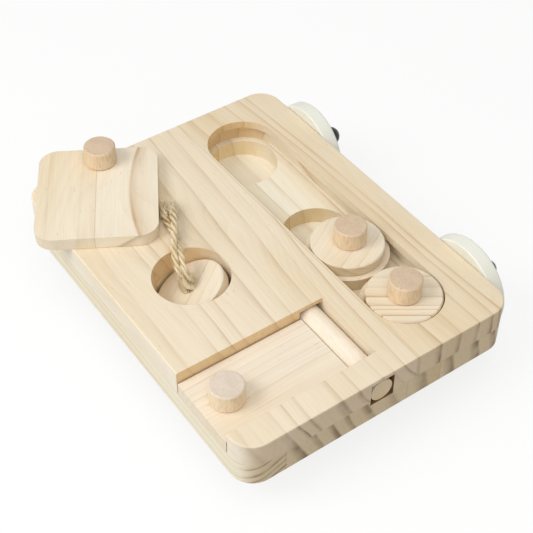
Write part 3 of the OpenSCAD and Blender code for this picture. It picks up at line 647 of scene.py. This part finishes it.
near_pine = pine(
    "pine_sanded_near_disc", (34.5 * MM, -61.8 * MM, UPPER_TOP * MM), 236.8,
    [(-15, 0.3), (-9.7, 0.45), (-3.5, 0.3), (2.2, 0.9), (7.1, 0.8), (9.3, 0.9), (12.7, 1.0), (16.5, 0.5)],
    [(30, 0.6, 0.0, 0.25, 0.0)])
plug_pine = pine(
    "pine_sanded_plug", PLUG_CENTRE, -58, [(-15, 0.3), (-7, 0.3), (3, 0.4), (9, 0.3), (14, 0.3)],
    [(30, 0.3, 0.0, 0.2, 0.0)])
knob_beech = beech("beech_turned_knob", TIPPED_UP, UPWARD, "#E6CEAB", "#D3BCA0", "#C0A084")
pale_beech = beech("beech_turned_pale_knob", TIPPED_UP, UPWARD, "#F3DFBE", "#DACBBA", "#C6B09A")
dowel_beech = beech("beech_turned_dowel", UNTURNED, ALONG_Y, "#F3E6D3", "#DCC5A0", "#E6D0AE")


# Plastic and metal

def moulded_plastic():
    """Moulded polypropylene: smooth off-white, with a faint orange-peel skin that softens its gloss."""
    material, tree = new_material("polypropylene_moulded")
    place = add(tree, "ShaderNodeTexCoord").outputs["Object"]
    skin = add(tree, "ShaderNodeTexNoise", {"Vector": place, "Scale": 1 / (0.8 * MM), "Detail": 2.0})
    cloud = add(tree, "ShaderNodeTexNoise", {"Vector": place, "Scale": 1 / (18 * MM), "Detail": 2.0})
    colour = add(tree, "ShaderNodeMix", {"Factor": cloud, "A": srgb("#F1F0E6"), "B": srgb("#E4E4D5")},
                 data_type="RGBA")
    rough = add(tree, "ShaderNodeMapRange", {"Value": skin, "To Min": 0.32, "To Max": 0.44})
    bump = add(tree, "ShaderNodeBump", {"Height": skin, "Strength": 0.12, "Distance": 0.05 * MM})
    return finish_material(material, {"Base Color": colour, "Roughness": rough, "Normal": bump, "IOR": 1.49,
                                      "Subsurface Weight": 0.08, "Subsurface Radius": (0.004, 0.004, 0.003)})


def plated(name, colour, wear_and_glint, roughness, patchy=(0.0, 1.0)):
    """Plated steel: a bright metal skin with small patches of a second tone, duller where handling wore it and
    lighter where glints are painted on.
    """
    material, tree = new_material(name)
    place = add(tree, "ShaderNodeTexCoord").outputs["Object"]
    smear_and_glint = add(tree, "ShaderNodeTexNoise", {"Vector": place, "Scale": 1 / (2.5 * MM), "Detail": 4.0})
    patch = add(tree, "ShaderNodeMapRange", {"Value": smear_and_glint, "From Min": patchy[0], "From Max": patchy[1]})
    tone = add(tree, "ShaderNodeMix", {"Factor": patch, "A": srgb(colour), "B": srgb(wear_and_glint)}, data_type="RGBA")
    rough = add(tree, "ShaderNodeMapRange", {"Value": smear_and_glint, "To Min": roughness * 0.7,
                                             "To Max": roughness * 1.4})
    return finish_material(material, {"Base Color": tone, "Roughness": rough, "Metallic": 1.0})


washer_plastic = moulded_plastic()
# On the cap nuts the second tone is the lighter one: painted glints on the dark nickel
nut_nickel = plated("steel_black_nickel_plated", "#353534", "#565755", 0.17, (0.35, 0.95))
screw_zinc = plated("steel_zinc_plated", "#C3C4C0", "#9EA09C", 0.34)

FINISHES = {
    "top_board": upper_pine, "bottom_board": lower_pine, "flap_panel": flap_pine, "square_lid": lid_pine,
    "rope_plug": plug_pine, "near_disc": near_pine, "near_flange": near_pine, "far_disc": far_pine,
    "far_flange": far_pine, "hinge_dowel": dowel_beech, "flap_knob": pale_beech, "lid_knob": knob_beech,
    "near_knob": knob_beech, "far_knob": knob_beech, "front_washer": washer_plastic,
    "back_washer": washer_plastic, "front_cap_nut": nut_nickel, "back_cap_nut": nut_nickel,
    "front_bolt": screw_zinc, "back_bolt": screw_zinc, "flap_screw": screw_zinc, "lid_screw": screw_zinc,
    "near_screw": screw_zinc, "far_screw": screw_zinc, "pull_rope": spun_jute,
}
for name, finish in FINISHES.items():
    nodes[name].data.materials.clear()
    nodes[name].data.materials.append(finish)


# Screws under the knobs and bolts of the cage clamps

SHANK_SOCKETS = {"Radius": "Float", "Start": "Float", "Length": "Float", "Plain": "Float", "Pitch": "Float",
                 "Thread Depth": "Float", "Material": "Material"}
SCREW_SIZES = {"Head Radius": 3.48 * MM, "Head Height": 1.75 * MM, "Recess Reach": 2.0 * MM,
               "Recess Waist": 0.62 * MM, "Recess Depth": 1.1 * MM, "Radius": 1.74 * MM, "Start": 1.3 * MM,
               "Plain": 1.2 * MM, "Pitch": 1.4 * MM, "Thread Depth": 0.4 * MM}
BOLT_SIZES = {"Radius": 2.98 * MM, "Start": 0.0, "Plain": 0.5 * MM, "Pitch": 1.0 * MM,
              "Thread Depth": 0.4 * MM}


def threaded_shank(tree, given):
    """A round core along +z, with one thread ridge wound round it."""
    radius = add(tree, "ShaderNodeMath", {0: given["Radius"], 1: given["Thread Depth"]}, operation="SUBTRACT")
    run = add(tree, "ShaderNodeMath", {0: given["Length"], 1: given["Start"]}, operation="SUBTRACT")
    middle = add(tree, "ShaderNodeMath", {0: run, 1: 0.5, 2: given["Start"]}, operation="MULTIPLY_ADD")
    middle = add(tree, "ShaderNodeCombineXYZ", {"Z": middle})
    core = add(tree, "GeometryNodeMeshCylinder", {"Vertices": 32, "Radius": radius, "Depth": run})
    core = add(tree, "GeometryNodeTransform", {"Geometry": core, "Translation": middle})
    # The ridge keeps half a pitch from both ends of the core, and starts after its plain part
    wound = add(tree, "ShaderNodeMath", {0: run, 1: given["Plain"]}, operation="SUBTRACT")
    wound = add(tree, "ShaderNodeMath", {0: wound, 1: given["Pitch"]}, operation="SUBTRACT")
    turns = add(tree, "ShaderNodeMath", {0: wound, 1: given["Pitch"]}, operation="DIVIDE")
    helix = add(tree, "GeometryNodeCurveSpiral", {"Resolution": 20, "Rotations": turns, "Height": wound,
                                                  "Start Radius": radius, "End Radius": radius})
    first = add(tree, "ShaderNodeMath", {0: given["Pitch"], 1: 0.5, 2: given["Plain"]},
                operation="MULTIPLY_ADD")
    first = add(tree, "ShaderNodeMath", {0: first, 1: given["Start"]}, operation="ADD")
    first = add(tree, "ShaderNodeCombineXYZ", {"Z": first})
    helix = add(tree, "GeometryNodeTransform", {"Geometry": helix, "Translation": first})
    ridge = add(tree, "GeometryNodeCurvePrimitiveCircle", {"Resolution": 4, "Radius": given["Thread Depth"]})
    thread = add(tree, "GeometryNodeCurveToMesh", {"Curve": helix, "Profile Curve": ridge, "Fill Caps": True})
    return add(tree, "GeometryNodeJoinGeometry", {"Geometry": [core, thread]})


def wood_screw_tree():
    """A countersunk wood screw, head down, with a tapered cross recess in the head."""
    tree, given = geometry_tree("wood_screw", {
        "Place": "Vector", "Head Radius": "Float", "Head Height": "Float", "Recess Reach": "Float",
        "Recess Waist": "Float", "Recess Depth": "Float", **SHANK_SOCKETS})
    head = add(tree, "GeometryNodeMeshCone", {
        "Vertices": 32, "Radius Top": given["Radius"], "Radius Bottom": given["Head Radius"],
        "Depth": given["Head Height"]})
    outside = add(tree, "ShaderNodeMath", {0: given["Recess Depth"], 1: -1.0}, operation="MULTIPLY")
    outside = add(tree, "ShaderNodeCombineXYZ", {"Z": outside})
    bottom = add(tree, "ShaderNodeCombineXYZ", {"Z": given["Recess Depth"]})
    axis = add(tree, "GeometryNodeCurvePrimitiveLine", {"Start": outside, "End": bottom})
    cross = add(tree, "GeometryNodeCurveStar", {"Points": 4, "Inner Radius": given["Recess Waist"],
                                                "Outer Radius": given["Recess Reach"]})
    inward = add(tree, "GeometryNodeSplineParameter").outputs["Factor"]
    taper = add(tree, "ShaderNodeMapRange", {"Value": inward, "To Min": 1.4, "To Max": 0.6})
    driver_tip = add(tree, "GeometryNodeCurveToMesh", {"Curve": axis, "Profile Curve": cross, "Scale": taper,
                                                       "Fill Caps": True})
    head = add(tree, "GeometryNodeMeshBoolean", {"Mesh 1": head, "Mesh 2": driver_tip},
               operation="DIFFERENCE")
    screw = add(tree, "GeometryNodeJoinGeometry", {"Geometry": [head, threaded_shank(tree, given)]})
    screw = add(tree, "GeometryNodeTransform", {"Geometry": screw, "Translation": given["Place"]})
    finish_tree(tree, screw, given["Material"])
    return tree


def clamp_bolts_tree():
    """Threaded bolts along +x, one from each point of a mesh."""
    tree, given = geometry_tree("clamp_bolts", {"Places": "Geometry", **SHANK_SOCKETS})
    points = add(tree, "GeometryNodeMeshToPoints", {"Mesh": given["Places"]})
    bolts = add(tree, "GeometryNodeInstanceOnPoints", {
        "Points": points, "Instance": threaded_shank(tree, given), "Rotation": (0.0, math.radians(90), 0.0)})
    finish_tree(tree, bolts, given["Material"])
    return tree


def middle_of(node):
    """Middle of a CAD node's box."""
    low_corner, high_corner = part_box(node)
    return [(a + b) / 2 for a, b in zip(low_corner, high_corner)]


screw_tree = wood_screw_tree()
for node, body in (("flap_screw", "flap"), ("lid_screw", "lid"), ("near_screw", "near_slider"),
                   ("far_screw", "far_slider")):
    screw_low, screw_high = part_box(node)
    screw = made_by_tree("cross_" + node, screw_tree, {
        "Place": (*middle_of(node)[:2], screw_low[2]), "Length": screw_high[2] - screw_low[2],
        "Material": screw_zinc, **SCREW_SIZES})
    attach(screw, body)
    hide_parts(node)

bolt_low, bolt_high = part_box("front_bolt")
bolt_places = bpy.data.meshes.new("bolt_places")
bolt_places.from_pydata([(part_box(node)[0][0], *middle_of(node)[1:]) for node in ("front_bolt", "back_bolt")],
                        [], [])
bolts = made_by_tree("threaded_clamp_bolts", clamp_bolts_tree(), {
    "Length": bolt_high[0] - bolt_low[0], "Material": screw_zinc, **BOLT_SIZES}, bolt_places)
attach(bolts, "board")
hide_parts("front_bolt", "back_bolt")


# Floor

def studio_floor():
    """Matt white paper, almost as bright to the camera as the backdrop, that still takes the shadow."""
    material, tree = new_material("paper_white_floor")
    place = add(tree, "ShaderNodeTexCoord").outputs["Object"]
    grit = add(tree, "ShaderNodeTexNoise", {"Vector": place, "Scale": 1 / (2 * MM), "Detail": 2.0})
    seen = directly_seen(tree)
    tone = add(tree, "ShaderNodeMix", {"Factor": grit, "A": srgb("#F6F6F4"), "B": srgb("#FAFAF8")},
               data_type="RGBA")
    tone = add(tree, "ShaderNodeMix", {"Factor": seen, "A": srgb("#C0BFBC"), "B": tone}, data_type="RGBA")
    paper = add(tree, "ShaderNodeBsdfPrincipled", {"Base Color": tone, "Roughness": 0.9})
    glow = add(tree, "ShaderNodeEmission", {"Color": srgb("#FFFFFF"), "Strength": 1.0})
    share = add(tree, "ShaderNodeMath", {0: seen, 1: 0.8}, operation="MULTIPLY")
    mixed = add(tree, "ShaderNodeMixShader", {0: share, 1: paper, 2: glow})
    add(tree, "ShaderNodeOutputMaterial", {"Surface": mixed})
    return material


floor_z = cad_low[2] - FLOOR_GAP
corners = [(-FLOOR_REACH, -FLOOR_REACH), (FLOOR_REACH, -FLOOR_REACH), (FLOOR_REACH, FLOOR_REACH),
           (-FLOOR_REACH, FLOOR_REACH)]
floor_mesh = bpy.data.meshes.new("floor")
floor_mesh.from_pydata([(x, y, floor_z) for x, y in corners], [], [(0, 1, 2, 3)])
floor_mesh.materials.append(studio_floor())
floor = bpy.data.objects.new("floor", floor_mesh)
scene.collection.objects.link(floor)
